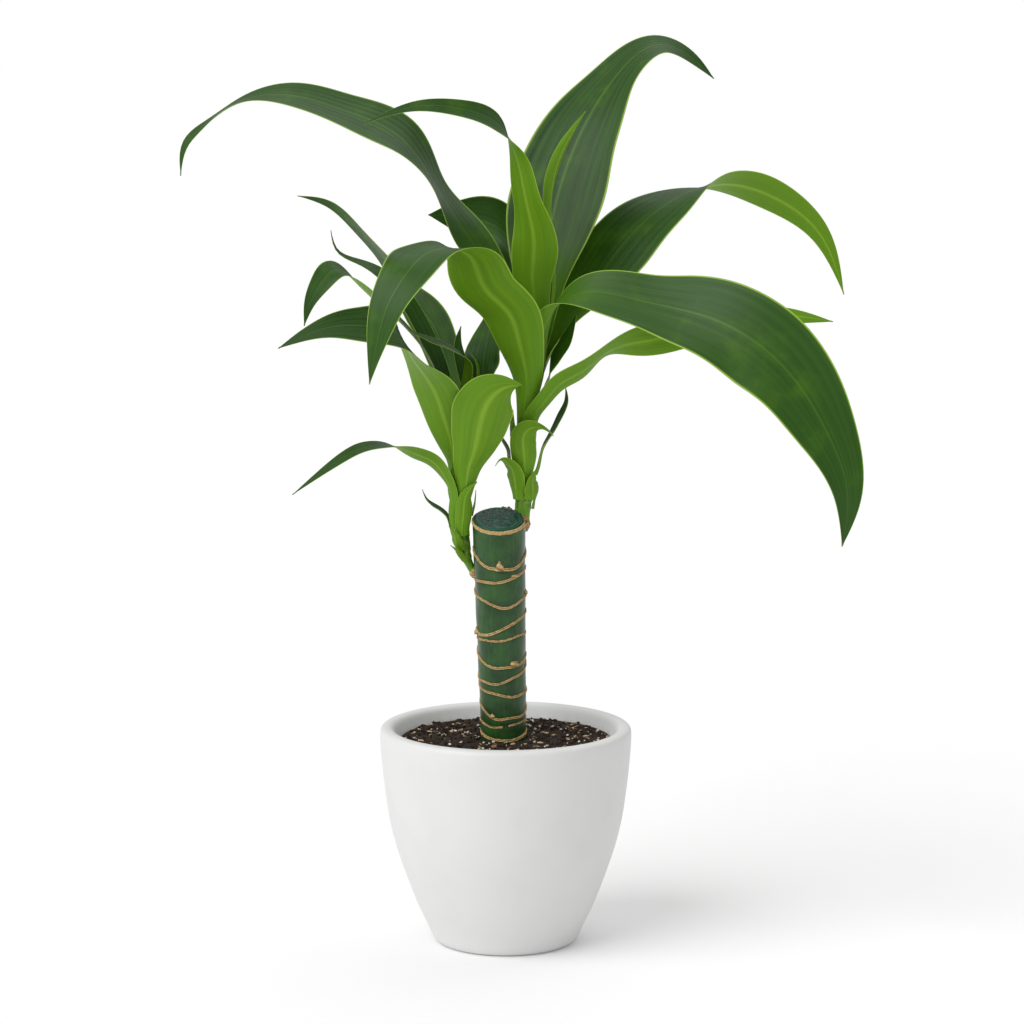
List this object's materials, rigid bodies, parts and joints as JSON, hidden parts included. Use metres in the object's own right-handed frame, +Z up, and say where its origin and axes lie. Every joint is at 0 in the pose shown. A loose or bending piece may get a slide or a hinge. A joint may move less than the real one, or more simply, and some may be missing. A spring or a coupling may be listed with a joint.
{
  "type": "potted plant",
  "caption": "Potted corn plant: an upright cut cane with a sealed top and two shoots of long arching green leaves, rooted in soil in a round white tub.",
  "frame": {"origin": "centre of the flat base of the tub, on the surface it stands on", "axes": "+Z up along the cane, -Y towards the front, +X to the right seen from the front"},
  "size_m": [0.4581, 0.2107, 0.6111],
  "materials": {
    "tub_ceramic": "matte white, smooth",
    "potting_soil": "loose dark peat with bark and perlite",
    "cane_bark": "smooth green bark with tan leaf scars",
    "sealing_wax": "dark green wax, satin",
    "stem_skin": "fresh green, satin",
    "leaf_skin": "glossy green with lighter stripes"
  },
  "bodies": {
    "root": {"tub": "tub_ceramic", "soil": "potting_soil", "cane": "cane_bark", "cane_cap": "sealing_wax", "main_stem": "stem_skin", "left_stem": "stem_skin", "new_spear": "leaf_skin", "centre_front": "leaf_skin", "tall_back": "leaf_skin", "long_left": "leaf_skin", "right_back": "leaf_skin", "short_back_left": "leaf_skin", "broad_right": "leaf_skin", "back_right_low": "leaf_skin", "front_left": "leaf_skin", "low_right": "leaf_skin", "narrow_left_b": "leaf_skin", "narrow_left_a": "leaf_skin", "thin_right": "leaf_skin", "folded_small": "leaf_skin", "main_scale_2": "leaf_skin", "main_scale_3": "leaf_skin", "main_scale_1": "leaf_skin", "main_scale_0": "leaf_skin", "left_spear": "leaf_skin", "left_tip_tiny": "leaf_skin", "strip_left": "leaf_skin", "back_mid": "leaf_skin", "back_left_long": "leaf_skin", "left_thin_behind": "leaf_skin", "folded_left": "leaf_skin", "boat_front": "leaf_skin", "twisted_tip": "leaf_skin", "broad_left": "leaf_skin", "left_thin_dark": "leaf_skin", "low_left_arch": "leaf_skin", "left_sheath_a": "leaf_skin", "thin_left_low": "leaf_skin", "left_sheath_b": "leaf_skin", "left_bract": "leaf_skin"}
  },
  "joints": []
}
